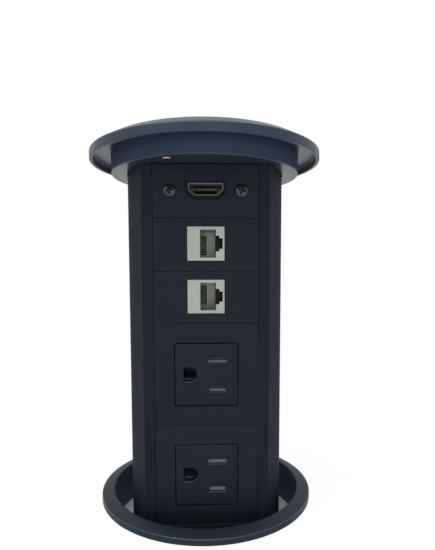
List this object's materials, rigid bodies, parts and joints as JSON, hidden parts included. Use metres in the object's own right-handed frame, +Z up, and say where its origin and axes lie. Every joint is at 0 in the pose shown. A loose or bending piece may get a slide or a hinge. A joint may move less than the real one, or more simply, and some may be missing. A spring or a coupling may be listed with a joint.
{
  "type": "pop-up desk socket tower",
  "caption": "Round pull-up socket tower for a desk hole, shown raised, with outlets, network jacks and an HDMI port on its flat front, a domed cap and a threaded clamp.",
  "frame": {"origin": "on the tower's axis, level with the underside of the desk ring's flange, where it rests on the desk", "axes": "+Z up along the column's travel, sockets facing -Y, +X to the right as seen from the front"},
  "size_m": [0.114, 0.114, 0.4081],
  "materials": {
    "anodised_black": "satin black anodised aluminium",
    "black_plastic": "fine matte black moulded plastic",
    "cap_plastic": "semi-gloss black with a blue cast",
    "barrel_plastic": "black glass-filled plastic",
    "housing_plastic": "black insulating plastic",
    "guide_plastic": "smooth grey acetal",
    "shutter_plastic": "smooth grey plastic",
    "spring_steel": "thin bright spring wire",
    "jack_white": "off-white moulded plastic",
    "gold_contact": "thin gold plate",
    "brass_contact": "nickel-plated spring brass",
    "nickel_shell": "bright nickel plate",
    "zinc_screw": "zinc-plated steel",
    "black_screw": "black zinc plate, worn bright in the cross",
    "seal_rubber": "soft black rubber",
    "felt": "dark wool felt",
    "wire_black": "black wire insulation",
    "wire_white": "white wire insulation",
    "wire_green": "green wire insulation"
  },
  "bodies": {
    "base": {"desk_ring": "anodised_black", "flange_gasket": "seal_rubber", "collar_screws": "zinc_screw", "guide_ring": "guide_plastic", "felt_wiper": "felt", "barrel": "barrel_plastic", "bottom_cover": "barrel_plastic", "cover_screws": "zinc_screw", "gland_body": "barrel_plastic", "gland_locknut": "barrel_plastic", "gland_seal": "seal_rubber", "gland_nut": "barrel_plastic"},
    "clamp_ring": {"clamp_washer": "barrel_plastic"},
    "nut": {"clamp_nut": "barrel_plastic"},
    "column": {"column_extrusion": "anodised_black", "top_plate": "anodised_black", "hdmi_plate": "black_plastic", "blank_plate": "black_plastic", "rj45_plate_lower": "black_plastic", "rj45_plate_upper": "black_plastic", "outlet_plate_lower": "black_plastic", "outlet_plate_upper": "black_plastic", "outlet_insert_lower": "black_plastic", "outlet_insert_upper": "black_plastic", "cap_lid": "cap_plastic", "cap_skirt": "cap_plastic", "skirt_plate": "cap_plastic", "foot_plate": "barrel_plastic", "outlet_housing_lower": "housing_plastic", "outlet_housing_upper": "housing_plastic", "hdmi_core": "housing_plastic", "hdmi_coupler": "housing_plastic", "foot_guide": "guide_plastic", "friction_pads": "guide_plastic", "terminal_block": "guide_plastic", "rj45_jack_lower": "jack_white", "rj45_jack_upper": "jack_white", "rj45_rear_lower": "jack_white", "rj45_rear_upper": "jack_white", "rj45_wires_lower": "gold_contact", "rj45_wires_upper": "gold_contact", "hdmi_contacts": "gold_contact", "line_contacts": "brass_contact", "neutral_contacts": "brass_contact", "ground_contacts": "brass_contact", "shutter_spring_lower": "spring_steel", "shutter_spring_upper": "spring_steel", "hdmi_shell": "nickel_shell", "skirt_screws": "nickel_shell", "foot_plate_screws": "zinc_screw", "lid_screws": "zinc_screw", "top_plate_screws": "zinc_screw", "terminal_screws": "zinc_screw", "hdmi_screws": "black_screw", "line_lead": "wire_black", "neutral_lead": "wire_white", "ground_lead": "wire_green"},
    "shutter_lower": {"slot_shutter_lower": "shutter_plastic"},
    "shutter_upper": {"slot_shutter_upper": "shutter_plastic"}
  },
  "joints": [
    {"name": "column_slide", "type": "slide", "parent": "base", "child": "column", "axis": [0, 0, 1], "range_m": [-0.1583, 0]},
    {"name": "clamp_ring_slide", "type": "slide", "parent": "base", "child": "clamp_ring", "axis": [0, 0, 1], "range_m": [-0.0151, 0.0151]},
    {"name": "nut_turn", "type": "hinge", "parent": "clamp_ring", "child": "nut", "pos_m": [0, 0, -0.033], "axis": [0, 0, 1], "range_deg": [-1800, 1800]},
    {"name": "shutter_lower_slide", "type": "slide", "parent": "column", "child": "shutter_lower", "axis": [0, 0, -1], "range_m": [0, 0.003], "stiffness_N_per_m": 40, "springref_m": -0.002, "deforming": ["shutter_spring_lower"]},
    {"name": "shutter_upper_slide", "type": "slide", "parent": "column", "child": "shutter_upper", "axis": [0, 0, -1], "range_m": [0, 0.003], "stiffness_N_per_m": 40, "springref_m": -0.002, "deforming": ["shutter_spring_upper"]}
  ],
  "couplings": [
    {"joint": "clamp_ring_slide", "follows": "nut_turn", "m_per_rad": 0.00047746}
  ]
}
